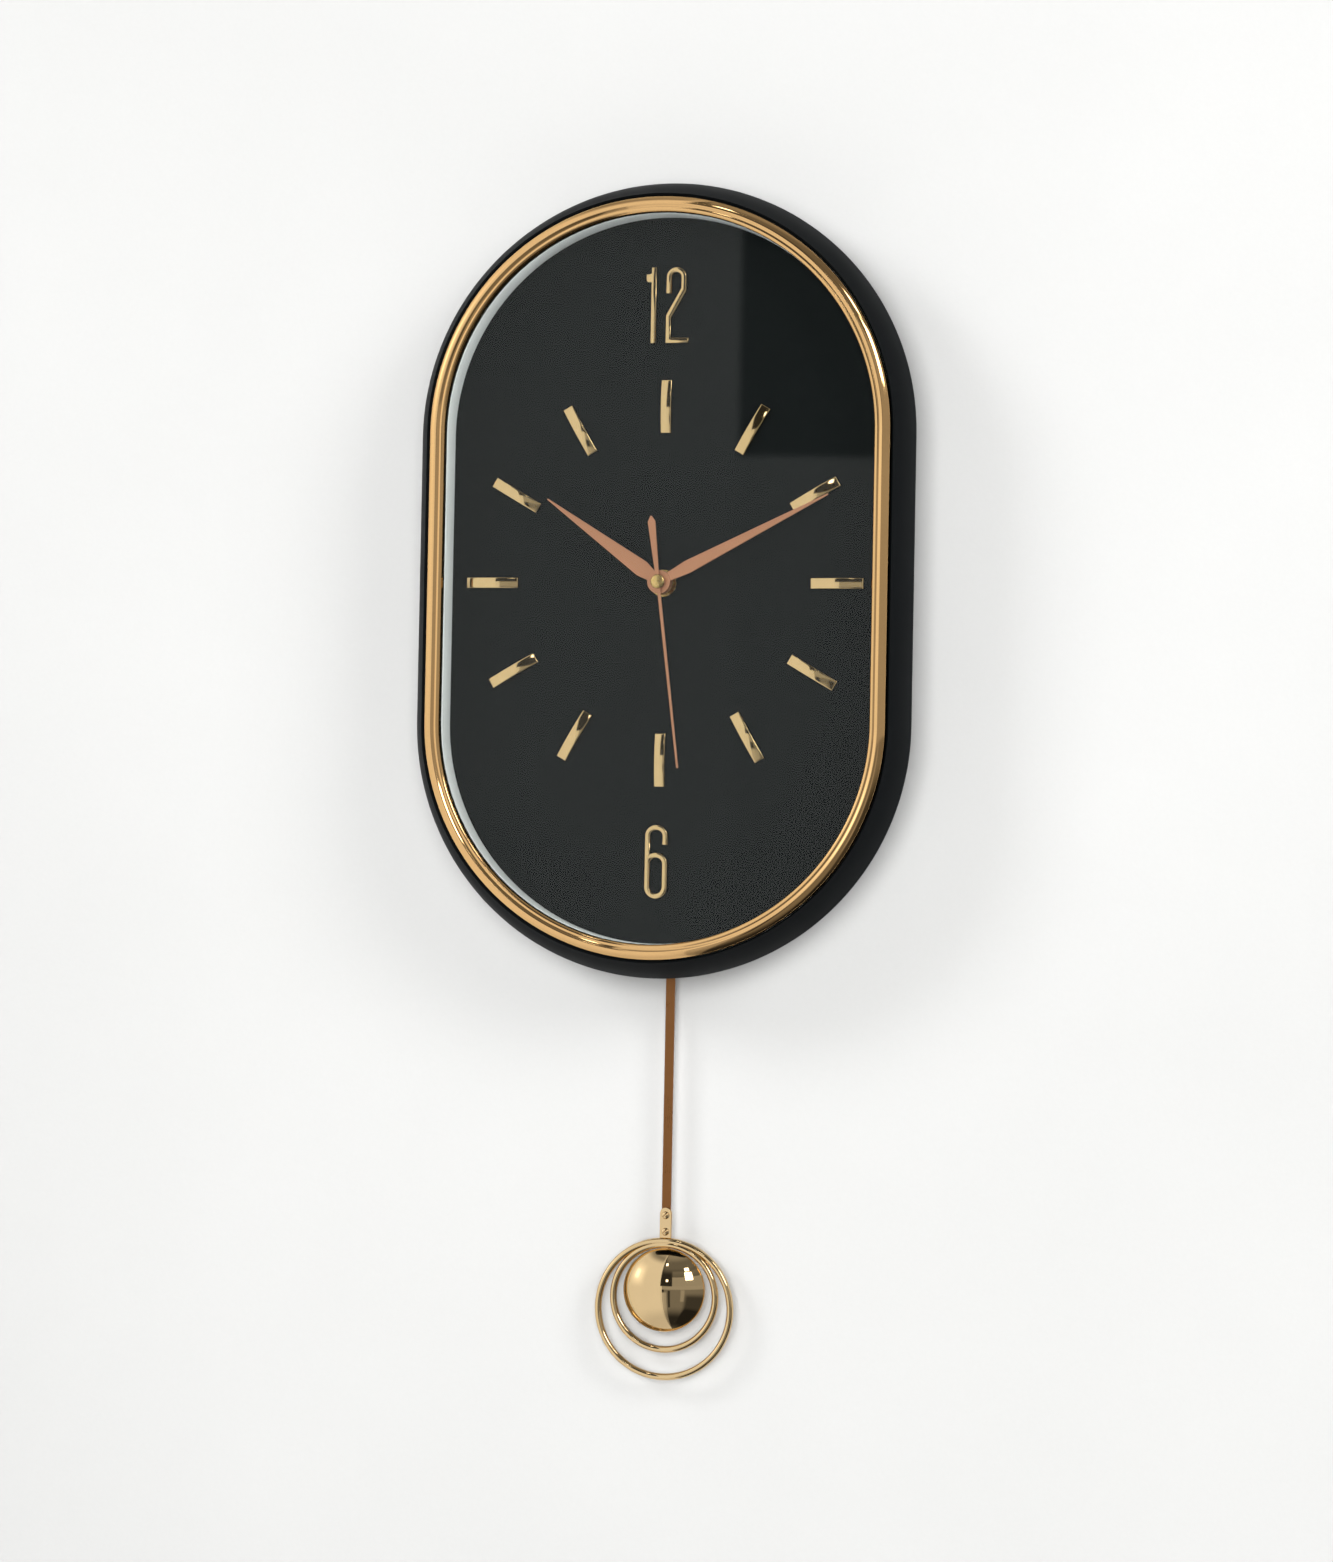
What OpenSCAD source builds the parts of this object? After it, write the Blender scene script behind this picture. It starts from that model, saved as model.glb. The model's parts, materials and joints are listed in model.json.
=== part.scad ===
// Pendulum wall clock: a stadium-shaped case, a quartz train with three hands,
// and a hook-on pendulum with a ringed bob.
//
// Every module is drawn as the clock lies on its back on a bench: X to the right,
// Y up the dial, Z from the wall towards the viewer, with the hand arbor on the Z axis.
// upright() then hangs it up: the wall is the plane y = 0, the front faces -Y, +Z is up,
// and the origin is the centre of the keyhole's entry, at the back face.

/* [Case] */
// Width across the widest edge of the case
case_w = 300; // [290:1:310]
// Height across the widest edge of the case
case_h = 471; // [455:1:490]
// Height of the case's middle above the hand arbor
case_lift = 1.9; // [0:0.1:3]
// Height of the hanging keyhole above the hand arbor
hang_h = 197; // [185:1:200]
// Thickness of the moulded case wall
case_wall = 2.6; // [2.2:0.1:3]
// Number of screws that hold the rear cover
cover_screw_count = 8; // [6:2:10]

/* [Dial] */
// Height of the dial face above the wall
dial_face = 50; // [50:0.5:51]
// Radius of the circle through the middles of the hour markers
marker_circle_r = 104.7; // [98:0.5:108]
// Length of an hour marker
marker_len = 31.6; // [26:0.2:34]
// Width of an hour marker
marker_w = 6.4; // [5:0.2:8]
// Relief of the markers and numerals above the dial
relief = 3; // [2:0.2:3.6]
// Height of the numerals
numeral_h = 45.4; // [42:0.2:48]
// Stroke width of the numerals
stroke = 3.4; // [2.8:0.1:3.6]

/* [Hands] */
// Time shown at rest, in seconds after twelve (just before 10:10:29)
rest_time = 36628.8; // [0:0.2:43199]
// Length of the hour hand from the arbor
hour_len = 85.5; // [76:0.5:90]
// Length of the minute hand from the arbor
minute_len = 113; // [100:0.5:118]
// Length of the second hand from the arbor
second_len = 110.5; // [100:0.5:116]
// Length of the second hand's tail
tail_len = 39; // [30:1:44]

/* [Pendulum] */
// Height of the rod's middle plane above the wall
rod_plane = 12; // [11.5:0.1:12.5]
// Width of the rod
rod_w = 5.5; // [4:0.1:6]
// Distance from the hand arbor down to the top of the bob's plate
rod_drop = 370.6; // [360:0.2:385]
// Outside diameter of the bob's outer ring
outer_ring_d = 84.8; // [82:0.2:88]
// Outside diameter of the bob's inner ring
inner_ring_d = 66.4; // [64:0.2:68]
// Diameter of the bob's dome
dome_d = 49.6; // [46:0.2:50]
// Height of the dome over its back plate
dome_rise = 11; // [8:0.5:14]
// Thickness of the rings' wire
wire_d = 4; // [3.6:0.1:4.2]
// Swing to each side, in degrees
swing = 7; // [5:0.5:7]

/* [Hidden] */
$fn = 96;
eps = 0.01;

// Case outline: a stadium whose straight sides have this half length
case_r = case_w / 2;
straight = case_h / 2 - case_r;

// Radii of the stadium's parts, all measured outwards from its straight middle line
bezel_out_r = case_r - 11;
bezel_in_r = case_r - 20.3;
seat_r = bezel_out_r + 0.35;
reflector_in_r = case_r - 20.8;
dial_r = case_r - 11.2;
glass_r = case_r - 16;
shelf_in_r = case_r - 27;
back_rim_r = case_r - 10.8;
cover_r = back_rim_r - case_wall - 0.3;

// Heights above the wall
cover_t = 3;
dial_t = 2;
dial_back = dial_face - dial_t;
shelf_t = 2.5;
front_edge = dial_face + 22.6;
flange_top = dial_face + 18;
gasket_t = 0.6;
glass_t = 2;
glass_back = flange_top + gasket_t;
glass_top = glass_back + glass_t;

// Rear cover: screws, access window and keyhole
post_r = 4;
screw_r = 1.25;
screw_fit = 0.05;
screw_head_r = 2.8;
window_w = 90;
window_top = 60;
window_bottom = -62;
key_entry_r = 4.5;
key_slot_r = 2.2;
key_slot_len = 10;

// Movement: outline, wall and the heights of its parts above the wall
move_w = 58;
move_top = 30;
move_bottom = -50;
move_wall = 1.4;
move_back = 28;
move_split = 35;
move_front = 47;
bush_r = 4;
bush_top = 53.6;
fit = 0.05;

// Coaxial arbors: each turns in the one outside it
second_r = 0.5;
minute_r = 1.5;
hour_r = 2.5;

// Gear train: tooth counts, tooth modules and the heights of the layers
rotor_z = 8;
inter_z = 48;
inter_pinion_z = 8;
second_z = 40;
second_pinion_z = 8;
third_z = 60;
third_pinion_z = 8;
centre_z = 64;
cannon_z = 10;
motion_z = 30;
motion_pinion_z = 8;
hour_z = 32;
knob_z = 10;
rotor_m = 0.36;
inter_m = 0.42;
second_m = 0.36;
third_m = 0.34;
motion_m = 0.5;
post_thin_r = 0.45;
post_thick_r = 0.8;
layer_rotor = 32;
layer_second = 34;
layer_third = 36;
layer_centre = 38.2;
layer_motion = 40.6;
layer_hour = 42.9;

// Centres of the gears that don't turn on the hand arbor
inter_pos = [inter_m * (inter_pinion_z + second_z) / 2, 0];
rotor_dist = rotor_m * (rotor_z + inter_z) / 2;
rotor_angle = 30;
rotor_pos = inter_pos + rotor_dist * [cos(rotor_angle), sin(rotor_angle)];
third_pos = [-second_m * (second_pinion_z + third_z) / 2, 0];
motion_pos = [0, -motion_m * (cannon_z + motion_z) / 2];
knob_angle = -42;
knob_pos = motion_pos + motion_m * (motion_z + knob_z) / 2 * [cos(knob_angle), sin(knob_angle)];

// Battery: one AA cell across the movement
cell_r = 7.1;
cell_len = 49.2;
cell_y = -39.5;
cell_h = 37.5;

// Motor: coil on its core, and the stator plate around the rotor
coil_y = 22.5;
coil_x0 = 12.6;
coil_x1 = 24.4;
stator_h = 35.8;
stator_t = 1;
rotor_magnet_r = 3;

// Numerals: the middle of the 12 above the arbor, and its digits' places and widths
numeral_mid = 164.7;
one_x = -13.4;
one_w = 6.5;
two_x = -1.2;
two_w = 14.2;
two_r = 6.2;
six_x = -0.9;
six_r = 7;

// Hands: heights of their faces above the wall, and their angles in degrees
hand_t = 0.7;
hour_hand_h = 57.4;
minute_hand_h = 61.2;
second_hand_h = 63.9;
hour_angle = rest_time / 120;
minute_angle = rest_time / 10;
second_angle = rest_time * 6;

// Pendulum drive: pivot above the arbor, arm, magnet and coil
pivot_y = 38;
pivot_r = 1;
pend_w = 44;
pend_top = 48;
pend_bottom = 6;
pend_back = 5.5;
arm_h = 14.5;
arm_t = 2.5;
arm_w = 8;
arm_bottom = -9;
hook_y = -4;
hook_r = 1.5;
magnet_y = 14;
magnet_r = 6;

// Slot in the bottom of the case, with room for the rod at both ends of its swing
rod_slot_w = 2 * ((pivot_y + case_h / 2 - case_lift) * tan(swing) + rod_w / 2 + 3.9);
rod_slot_low = 5;
rod_slot_high = 20;

// Bob: everything hangs from the plate, and the rings and the dome meet at the top
rod_t = 1;
plate_t = 1.5;
plate_w = 7;
plate_len = 19.5;
bob_h = rod_plane + 2;
wire_r = wire_d / 2;
outer_mid_r = outer_ring_d / 2 - wire_r;
inner_mid_r = inner_ring_d / 2 - wire_r;
outer_top_y = -rod_drop - 17.9;
outer_y = outer_top_y - outer_ring_d / 2;
inner_y = outer_top_y - 2.1 - inner_ring_d / 2;
dome_y = outer_top_y - 6.25 - dome_d / 2;
dome_r = dome_d / 2;
dome_back_t = 1.4;
dome_sphere_r = (dome_r * dome_r + dome_rise * dome_rise) / (2 * dome_rise);
bob_screw_y = [-rod_drop - 4.6, -rod_drop - 14.4];

// Rear cover screws, spread evenly along a stadium inside the cover's edge
cover_screw_r = cover_r - 7;
outline_len = 2 * (PI * cover_screw_r + 2 * straight);
screw_step = outline_len / cover_screw_count;
cover_screw_pos = [for (i = [0:cover_screw_count - 1])
    let (along = straight + (i + 0.5 - cover_screw_count / 4) * screw_step)
    [0, case_lift] + outline_point(cover_screw_r, along)];

function marker_name(hour) = str("hour_marker_", hour < 10 ? "0" : "", hour);

// ---- shared shapes ----

module upright() {
    translate([0, 0, -hang_h]) rotate([90, 0, 0]) children();
}

// Sweeps a profile drawn as (radius, height) once round the stadium
module stadium_sweep() {
    translate([0, case_lift, 0]) for (side = [0, 180]) rotate([0, 0, side]) {
        translate([0, straight, 0]) rotate_extrude(angle = 180) children();
        translate([0, straight, 0]) rotate([90, 0, 0]) linear_extrude(2 * straight) children();
    }
}

module stadium_plate(r, t) {
    translate([0, case_lift, 0]) {
        for (end = [-1, 1]) translate([0, end * straight, 0]) cylinder(r = r, h = t, $fn = 180);
        translate([-r, -straight, 0]) cube([2 * r, 2 * straight, t]);
    }
}

module ring(r_out, r_in, h) {
    difference() {
        cylinder(r = r_out, h = h);
        translate([0, 0, -1]) cylinder(r = r_in, h = h + 2);
    }
}

// A gear's outline, with one tooth centred on the direction first_angle
module gear_outline(teeth, mod, first_angle) {
    pitch_r = teeth * mod / 2;
    root_r = pitch_r - 1.1 * mod;
    tip_r = pitch_r + 0.8 * mod;
    step = 360 / teeth;
    root_half = 0.29 * step;
    tip_half = 0.1 * step;
    polygon([for (i = [0:teeth - 1], corner = [[root_r, -root_half], [tip_r, -tip_half],
                                               [tip_r, tip_half], [root_r, root_half]])
        let (a = first_angle + i * step + corner[1]) corner[0] * [cos(a), sin(a)]]);
}

module gear(teeth, mod, h, first_angle) {
    linear_extrude(h) gear_outline(teeth, mod, first_angle);
}

// The point that lies a length s along the outline of a stadium whose ends have radius r
function outline_point(r, s) =
    let (arc = PI * r, leg = 2 * straight, half = arc + leg, u = s - half * floor(s / half),
         side = floor(s / half) % 2 == 0 ? 1 : -1,
         a = 180 * (u - leg) / arc,
         p = u < leg ? [r, u - straight] : [r * cos(a), straight + r * sin(a)])
    side * p;

// ---- case ----

module case_profile() {
    slope_h = front_edge - dial_face;
    lip_w = 1.4;
    slope_w = case_r - seat_r - lip_w;
    bulge = 0.9;
    outer = [for (i = [0:8]) let (t = i / 8, out = bulge * sin(180 * t))
        [seat_r + lip_w + slope_w * t + out, front_edge - slope_h * t + out / 2]];
    polygon(concat(
        [[seat_r, front_edge - 2.2]],
        outer,
        [[case_r, dial_face - 1.6], [case_r - 0.6, dial_face - 3],
         [back_rim_r, 0], [back_rim_r - case_wall, 0],
         [case_r - case_wall - 0.6, dial_face - 3],
         [seat_r + 2.2, front_edge - 3.8], [seat_r + 2.2, dial_back - shelf_t],
         [shelf_in_r, dial_back - shelf_t], [shelf_in_r, dial_back], [seat_r, dial_back]]));
}

module case_shell() {
    color([0.13, 0.14, 0.15]) upright() difference() {
        union() {
            stadium_sweep() case_profile();
            for (p = cover_screw_pos) translate([p[0], p[1], cover_t + 0.1])
                cylinder(r = post_r, h = dial_back - shelf_t - cover_t + 0.4);
        }
        for (p = cover_screw_pos) translate([p[0], p[1], 0])
            cylinder(r = screw_r + screw_fit, h = 16);
        translate([-rod_slot_w / 2, case_lift - case_h / 2 - 5, rod_slot_low])
            cube([rod_slot_w, 30, rod_slot_high - rod_slot_low]);
    }
}

module bezel_profile() {
    ridge = [for (a = [138:-11.5:0])
        [bezel_out_r - 2.9 + 2.9 * cos(a), dial_face + 22.6 + 2.5 * sin(a)]];
    bead = [for (a = [180:-14.75:62])
        [bezel_in_r + 2.8 + 2.8 * cos(a), dial_face + 22.1 + 2.35 * sin(a)]];
    polygon(concat([[bezel_in_r, glass_top + 0.1]], bead, ridge,
        [[bezel_out_r, flange_top], [glass_r + 0.5, flange_top], [glass_r + 0.5, glass_top + 0.1]]));
}

module bezel_ring() {
    color([0.83, 0.62, 0.36]) upright() stadium_sweep() bezel_profile();
}

module lens_glass() {
    color([0.85, 0.9, 0.92, 0.3]) upright() translate([0, 0, glass_back]) stadium_plate(glass_r, glass_t);
}

module lens_gasket() {
    color([0.05, 0.05, 0.05]) upright() stadium_sweep()
        translate([reflector_in_r + 0.5, flange_top]) square([glass_r - reflector_in_r - 0.5, gasket_t]);
}

module reflector_ring() {
    color([0.74, 0.76, 0.77]) upright() stadium_sweep() polygon([
        [reflector_in_r, dial_face], [reflector_in_r + 1.5, dial_face],
        [reflector_in_r + 1.5, flange_top - 1.5], [bezel_out_r, flange_top - 1.5],
        [bezel_out_r, flange_top], [reflector_in_r, flange_top]]);
}

module dial_plate() {
    color([0.18, 0.19, 0.2]) upright() difference() {
        translate([0, 0, dial_back]) stadium_plate(dial_r, dial_t);
        translate([0, 0, dial_back - 1]) cylinder(r = bush_r + 0.3, h = dial_t + 2);
    }
}

module rear_cover() {
    color([0.1, 0.1, 0.11]) upright() difference() {
        stadium_plate(cover_r, cover_t);
        translate([-window_w / 2, window_bottom, -1])
            cube([window_w, window_top - window_bottom, cover_t + 2]);
        translate([0, hang_h, -1]) cylinder(r = key_entry_r, h = cover_t + 2);
        translate([-key_slot_r, hang_h, -1]) cube([2 * key_slot_r, key_slot_len, cover_t + 2]);
        translate([0, hang_h + key_slot_len, -1]) cylinder(r = key_slot_r, h = cover_t + 2);
        for (p = cover_screw_pos) translate([p[0], p[1], -1]) {
            cylinder(r = screw_r + 0.35, h = cover_t + 2);
            cylinder(r = screw_head_r + 0.4, h = 2.4);
        }
    }
}

module rear_cover_screws() {
    color([0.35, 0.35, 0.37]) upright() for (p = cover_screw_pos) translate([p[0], p[1], 0.2]) {
        difference() {
            cylinder(r = screw_head_r, h = 1.2);
            for (turn = [0, 90]) rotate([0, 0, turn]) translate([-1.6, -0.25, -0.5]) cube([3.2, 0.5, 1.1]);
        }
        translate([0, 0, 1.2]) cylinder(r = screw_r, h = 12);
    }
}

// ---- dial furniture ----

module hour_marker(hour) {
    crown = relief - 0.9;
    color([0.86, 0.72, 0.45]) upright() rotate([0, 0, -30 * hour])
        translate([0, marker_circle_r - marker_len / 2, dial_face])
        rotate([-90, 0, 0]) mirror([0, 1, 0]) linear_extrude(marker_len)
        polygon(concat([[marker_w / 2, 0]],
            [for (i = [0:8]) let (a = 22.5 * i) [marker_w / 2 * cos(a), crown + 0.9 * sin(a)]],
            [[-marker_w / 2, 0]]));
}

// An arch of the numerals' stroke: outer radius r, from angle a0 to a1
module arch(r, a0, a1) {
    rotate([0, 0, a0]) rotate_extrude(angle = a1 - a0) translate([r - stroke, 0]) square([stroke, relief]);
}

module bar(x, y, w, h) {
    translate([x, y, 0]) cube([w, h, relief]);
}

module numeral_one() {
    flag_low = numeral_h - 9.2;
    flag_high = numeral_h - 4;
    bar_x = one_w - stroke;
    color([0.86, 0.72, 0.45]) upright() translate([one_x, numeral_mid - numeral_h / 2, dial_face]) {
        bar(bar_x, 0, stroke, numeral_h);
        linear_extrude(relief) polygon([[0, flag_low + 1.2], [1, flag_low], [bar_x + eps, flag_low],
            [bar_x + eps, flag_high + 0.6], [bar_x - 1, flag_high], [0, flag_high]]);
    }
}

module numeral_two() {
    foot_y = 15.2;
    hook_y2 = numeral_h - 15.9;
    turn_y = numeral_h - 14.4;
    arch_y = numeral_h - two_r;
    right = 2 * two_r;
    color([0.86, 0.72, 0.45]) upright() translate([two_x, numeral_mid - numeral_h / 2, dial_face]) {
        bar(0, 0, two_w, stroke);
        bar(0, stroke - eps, stroke, foot_y - stroke);
        translate([two_r, arch_y, 0]) arch(two_r, 0, 180);
        bar(0, hook_y2, stroke, arch_y - hook_y2 + eps);
        bar(right - stroke, turn_y + 1.8, stroke, arch_y - turn_y - 1.8 + eps);
        linear_extrude(relief) polygon([[0, foot_y - 2 * eps], [stroke, foot_y - 2 * eps], [right, turn_y],
            [right, turn_y + 1.8 + eps], [right - stroke, turn_y + 1.8 + eps], [0, foot_y + 1.4]]);
    }
}

module numeral_six() {
    six_h = numeral_h - 1.4;
    loop_h = 27.6;
    hook_len = 12.1;
    color([0.86, 0.72, 0.45]) upright() translate([six_x, -numeral_mid - six_h / 2, dial_face]) {
        translate([0, six_r, 0]) arch(six_r, 180, 360);
        translate([0, six_h - six_r, 0]) arch(six_r, 0, 180);
        translate([0, loop_h - six_r, 0]) arch(six_r, 0, 180);
        bar(-six_r, six_r - eps, stroke, six_h - 2 * six_r + 2 * eps);
        bar(six_r - stroke, six_r - eps, stroke, loop_h - 2 * six_r + 2 * eps);
        bar(six_r - stroke, six_h - hook_len, stroke, hook_len - six_r + eps);
    }
}

// ---- hands ----

// A lance-shaped hand: narrow at the hub, widest a little way out, and drawn out to a point
module lance(len, w_hub, w_max, at, w_tip) {
    polygon([[-w_hub / 2, 0], [-w_max / 2, at], [-w_tip / 2, len], [w_tip / 2, len],
             [w_max / 2, at], [w_hub / 2, 0]]);
}

module hour_hand() {
    color([0.76, 0.55, 0.44]) upright() rotate([0, 0, -hour_angle]) difference() {
        union() {
            translate([0, 0, hour_hand_h]) linear_extrude(hand_t) lance(hour_len, 4, 9.8, 14, 0.7);
            translate([0, 0, hour_hand_h - 1.2]) cylinder(r = 7, h = 1.2 + hand_t + 0.5);
        }
        translate([0, 0, hour_hand_h - 3]) cylinder(r = hour_r, h = 6);
    }
}

module minute_hand() {
    color([0.76, 0.55, 0.44]) upright() rotate([0, 0, -minute_angle]) difference() {
        union() {
            translate([0, 0, minute_hand_h]) linear_extrude(hand_t) lance(minute_len, 4, 7.8, 19.5, 0.9);
            translate([0, 0, minute_hand_h - 0.8]) cylinder(r = 7, h = 0.8 + hand_t + 0.4);
        }
        translate([0, 0, minute_hand_h - 3]) cylinder(r = minute_r, h = 6);
    }
}

module second_hand() {
    tail_w = 4.6;
    color([0.76, 0.55, 0.44]) upright() rotate([0, 0, -second_angle]) difference() {
        translate([0, 0, second_hand_h]) union() {
            linear_extrude(0.6) polygon([[-0.95, 0], [-0.6, second_len], [0.6, second_len], [0.95, 0],
                [tail_w / 2, -tail_len + 3.4], [tail_w / 12, -tail_len], [-tail_w / 12, -tail_len],
                [-tail_w / 2, -tail_len + 3.4]]);
            translate([0, 0, -0.6]) cylinder(r = 2.6, h = 1.4);
        }
        translate([0, 0, second_hand_h - 2]) cylinder(r = second_r, h = 6);
    }
}

module second_hand_cap() {
    base = second_hand_h + 0.8;
    color([0.8, 0.66, 0.4]) upright() difference() {
        translate([0, 0, base]) intersection() {
            translate([0, 0, -3.2]) sphere(r = 5.4);
            cylinder(r = 4.2, h = 3);
        }
        translate([0, 0, base - 1]) cylinder(r = second_r, h = 1 + 1.2);
    }
}

// ---- movement ----

module movement_shell(low, high, floor_low) {
    difference() {
        translate([-move_w / 2, move_bottom, low]) cube([move_w, move_top - move_bottom, high - low]);
        translate([-move_w / 2 + move_wall, move_bottom + move_wall, floor_low ? low + move_wall : low - 1])
            cube([move_w - 2 * move_wall, move_top - move_bottom - 2 * move_wall,
                  high - low - move_wall + 1]);
    }
}

module post(pos, low, high, r) {
    translate([pos[0], pos[1], low]) cylinder(r = r, h = high - low);
}

module movement_case_front() {
    color([0.12, 0.12, 0.13]) upright() difference() {
        union() {
            movement_shell(move_split, move_front, false);
            translate([0, 0, move_front - eps]) cylinder(r = bush_r, h = bush_top - move_front);
            post(motion_pos, layer_motion - 0.4, move_front - 0.5, post_thick_r);
        }
        translate([0, 0, move_front - 5]) cylinder(r = hour_r + fit, h = bush_top - move_front + 10);
    }
}

module movement_case_rear() {
    inner_back = move_back + move_wall;
    color([0.16, 0.16, 0.17]) upright() difference() {
        union() {
            movement_shell(move_back, move_split, true);
            post(inter_pos, inner_back - eps, layer_second + 1.5, post_thin_r);
            post(third_pos, inner_back - eps, layer_centre + 1.6, post_thin_r);
            post(rotor_pos, inner_back - eps, stator_h + 2.4, post_thin_r);
            post([0, 0], inner_back - eps, inner_back + 1.6, 2);
        }
        translate([0, 0, inner_back]) cylinder(r = second_r + fit, h = 3);
        translate([knob_pos[0], knob_pos[1], move_back - 1]) cylinder(r = 1.2 + fit, h = 4);
        translate([-cell_len / 2 - 0.6, cell_y - cell_r - 0.5, move_back - 1])
            cube([cell_len + 1.2, 2 * cell_r + 1, 4]);
    }
}

module rubber_washer() {
    color([0.08, 0.08, 0.08]) upright() translate([0, 0, move_front])
        ring(9, bush_r + 0.1, dial_back - move_front);
}

module fixing_nut() {
    color([0.8, 0.66, 0.4]) upright() translate([0, 0, dial_face]) difference() {
        union() {
            cylinder(r = 8, h = 1);
            cylinder(r = 6.6, h = 2.6, $fn = 6);
        }
        translate([0, 0, -1]) cylinder(r = bush_r + fit, h = 5);
    }
}

module circuit_board() {
    board_h = move_back + move_wall + 0.3;
    color([0.1, 0.35, 0.18]) upright() translate([0, 0, board_h]) {
        translate([-26, 13.5, 0]) cube([24, 14.5, 1]);
        translate([-20, 19, 1 - eps]) cylinder(r = 3, h = 1);
        translate([-12, 16, 1 - eps]) cube([6.2, 2.1, 2.1]);
        for (x = [-24, -6]) translate([x, 25, 1 - eps]) cube([2, 1.4, 0.9]);
    }
}

module motor_coil() {
    mid_h = stator_h + stator_t / 2;
    color([0.72, 0.38, 0.16]) upright() difference() {
        translate([coil_x0, coil_y, mid_h]) rotate([0, 90, 0]) {
            cylinder(r = 4, h = coil_x1 - coil_x0);
            for (x = [0, coil_x1 - coil_x0 - 0.8]) translate([0, 0, x]) cylinder(r = 4.6, h = 0.8);
        }
        translate([coil_x0 - 1, coil_y - 1.6, mid_h - 0.6]) cube([coil_x1 - coil_x0 + 2, 3.2, 1.2]);
    }
}

module motor_stator() {
    color([0.6, 0.6, 0.62]) upright() translate([0, 0, stator_h]) difference() {
        union() {
            translate([9, -3, 0]) cube([18.4, 15.5, stator_t]);
            for (x = [9, 25]) translate([x, 12, 0]) cube([2.4, 12, stator_t]);
            translate([9, coil_y - 1.5, 0]) cube([18.4, 3, stator_t]);
        }
        translate([rotor_pos[0], rotor_pos[1], -1]) cylinder(r = rotor_magnet_r + 0.5, h = 3);
    }
}

module rotor() {
    color([0.3, 0.3, 0.33]) upright() translate([rotor_pos[0], rotor_pos[1], 0]) difference() {
        union() {
            translate([0, 0, layer_rotor - 0.3]) gear(rotor_z, rotor_m, 1.8, rotor_angle + 180);
            translate([0, 0, layer_rotor + 1.4]) cylinder(r = 1, h = 1.6);
            translate([0, 0, stator_h - 1]) cylinder(r = rotor_magnet_r, h = 3);
        }
        translate([0, 0, layer_rotor - 1]) cylinder(r = post_thin_r + fit, h = 8);
    }
}

module intermediate_wheel() {
    color([0.92, 0.92, 0.88]) upright() translate([inter_pos[0], inter_pos[1], 0]) difference() {
        union() {
            translate([0, 0, layer_rotor]) gear(inter_z, rotor_m, 1, rotor_angle + 180 / inter_z);
            translate([0, 0, layer_rotor + 0.9]) gear(inter_pinion_z, inter_m, 2.4, 180);
        }
        translate([0, 0, layer_rotor - 1]) cylinder(r = post_thin_r + fit, h = 8);
    }
}

module second_arbor() {
    foot = move_back + move_wall + 0.3;
    color([0.92, 0.92, 0.88]) upright() {
        translate([0, 0, foot]) cylinder(r = second_r, h = second_hand_h + 2 - foot);
        translate([0, 0, layer_second]) gear(second_z, inter_m, 1, 180 / second_z);
        translate([0, 0, layer_second + 0.9]) gear(second_pinion_z, second_m, 2.3, 180);
    }
}

module third_wheel() {
    color([0.92, 0.92, 0.88]) upright() translate([third_pos[0], third_pos[1], 0]) difference() {
        union() {
            translate([0, 0, layer_third]) gear(third_z, second_m, 1, 180 / third_z);
            translate([0, 0, layer_third + 0.9]) gear(third_pinion_z, third_m, 2.5, 0);
        }
        translate([0, 0, layer_third - 1]) cylinder(r = post_thin_r + fit, h = 8);
    }
}

module minute_arbor() {
    color([0.92, 0.92, 0.88]) upright() difference() {
        union() {
            translate([0, 0, layer_centre]) cylinder(r = minute_r, h = minute_hand_h + 1.4 - layer_centre);
            translate([0, 0, layer_centre]) gear(centre_z, third_m, 1, 180 + 180 / centre_z);
            translate([0, 0, layer_centre + 0.9]) gear(cannon_z, motion_m, 3, 270);
        }
        translate([0, 0, layer_centre - 1]) cylinder(r = second_r + fit, h = 30);
    }
}

module motion_wheel() {
    color([0.92, 0.92, 0.88]) upright() translate([motion_pos[0], motion_pos[1], 0]) difference() {
        union() {
            translate([0, 0, layer_motion]) gear(motion_z, motion_m, 1.2, 90 + 180 / motion_z);
            translate([0, 0, layer_motion + 1.1]) gear(motion_pinion_z, motion_m, 2.6, 90);
        }
        translate([0, 0, layer_motion - 1]) cylinder(r = post_thick_r + fit, h = 8);
    }
}

module hour_wheel() {
    color([0.92, 0.92, 0.88]) upright() difference() {
        union() {
            translate([0, 0, layer_hour]) gear(hour_z, motion_m, 1.2, 270 + 180 / hour_z);
            translate([0, 0, layer_hour]) cylinder(r = hour_r, h = hour_hand_h + 1.2 - layer_hour);
        }
        translate([0, 0, layer_hour - 1]) cylinder(r = minute_r + fit, h = 30);
    }
}

module setting_knob() {
    color([0.85, 0.85, 0.8]) upright() translate([knob_pos[0], knob_pos[1], 0]) {
        translate([0, 0, layer_motion - 0.2]) gear(knob_z, motion_m, 1.6, knob_angle + 180);
        translate([0, 0, move_back - 4]) cylinder(r = 1.2, h = layer_motion + 2 - move_back + 4);
        difference() {
            translate([0, 0, move_back - 5]) cylinder(r = 5.5, h = 4.4);
            for (i = [0:17]) rotate([0, 0, 20 * i]) translate([5.6, 0, move_back - 6])
                cylinder(r = 0.5, h = 7, $fn = 16);
        }
    }
}

module battery() {
    color([0.2, 0.22, 0.25]) upright() translate([-cell_len / 2, cell_y, cell_h]) rotate([0, 90, 0]) {
        cylinder(r = cell_r, h = cell_len - 1.4);
        translate([0, 0, cell_len - 1.5]) cylinder(r = 2.7, h = 1.5);
    }
}

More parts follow.
